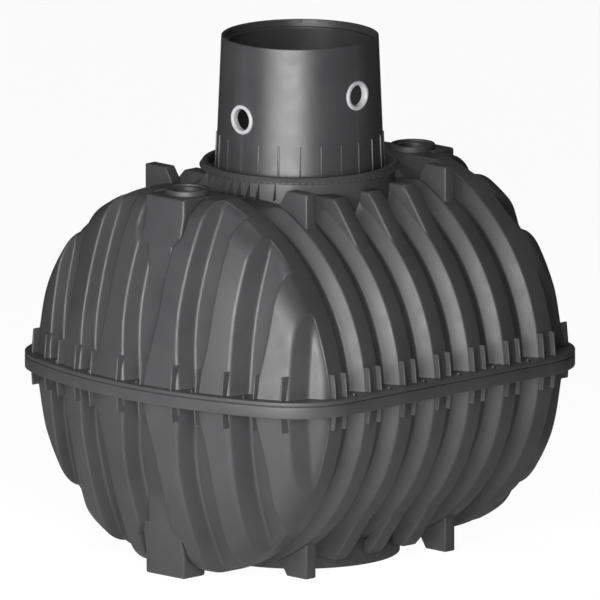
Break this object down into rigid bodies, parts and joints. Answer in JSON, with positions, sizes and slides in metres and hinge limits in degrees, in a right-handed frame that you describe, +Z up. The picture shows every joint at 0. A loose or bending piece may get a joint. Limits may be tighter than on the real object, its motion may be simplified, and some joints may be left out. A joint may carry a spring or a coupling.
{
  "type": "underground septic tank",
  "caption": "Ribbed two-part plastic septic tank, dished ends with pilasters, bolted flange, round access neck with pipe seals, lifting lugs and feet.",
  "frame": {"origin": "centre of the tank on the ground, under the middle of the barrel", "axes": "+X along the tank, its front end faces -X; +Y across it; +Z up through the neck"},
  "size_m": [2.28, 1.985, 2.43],
  "materials": {
    "tank_shell": "satin moulded dark grey plastic",
    "neck_plastic": "satin moulded dark grey plastic",
    "seam_rubber": "black seal",
    "pipe_seal": "light grey pipe seal"
  },
  "bodies": {
    "root": {"base_ring": "tank_shell", "foot_front_left": "tank_shell", "foot_front_right": "tank_shell", "foot_rear_left": "tank_shell", "foot_rear_right": "tank_shell", "front_foot_block": "tank_shell", "front_inspection_port": "tank_shell", "front_pipe_seal": "pipe_seal", "front_top_block": "tank_shell", "lifting_lug_front_left": "tank_shell", "lifting_lug_front_right": "tank_shell", "lifting_lug_rear_left": "tank_shell", "lifting_lug_rear_right": "tank_shell", "lock_ring": "tank_shell", "lower_flange": "tank_shell", "lower_floor_left": "tank_shell", "lower_floor_right": "tank_shell", "lower_front_end": "tank_shell", "lower_gussets": "tank_shell", "lower_rear_end": "tank_shell", "lower_rib_heads": "tank_shell", "lower_side_left": "tank_shell", "lower_side_right": "tank_shell", "neck": "neck_plastic", "neck_seal": "seam_rubber", "rear_foot_block": "tank_shell", "rear_inspection_port": "tank_shell", "rear_top_block": "tank_shell", "right_pipe_seal": "pipe_seal", "seam_seal": "seam_rubber", "top_collar": "tank_shell", "upper_crown_left": "tank_shell", "upper_crown_right": "tank_shell", "upper_flange": "tank_shell", "upper_front_end": "tank_shell", "upper_gussets": "tank_shell", "upper_rear_end": "tank_shell", "upper_rib_heads": "tank_shell", "upper_side_left": "tank_shell", "upper_side_right": "tank_shell"}
  },
  "joints": []
}
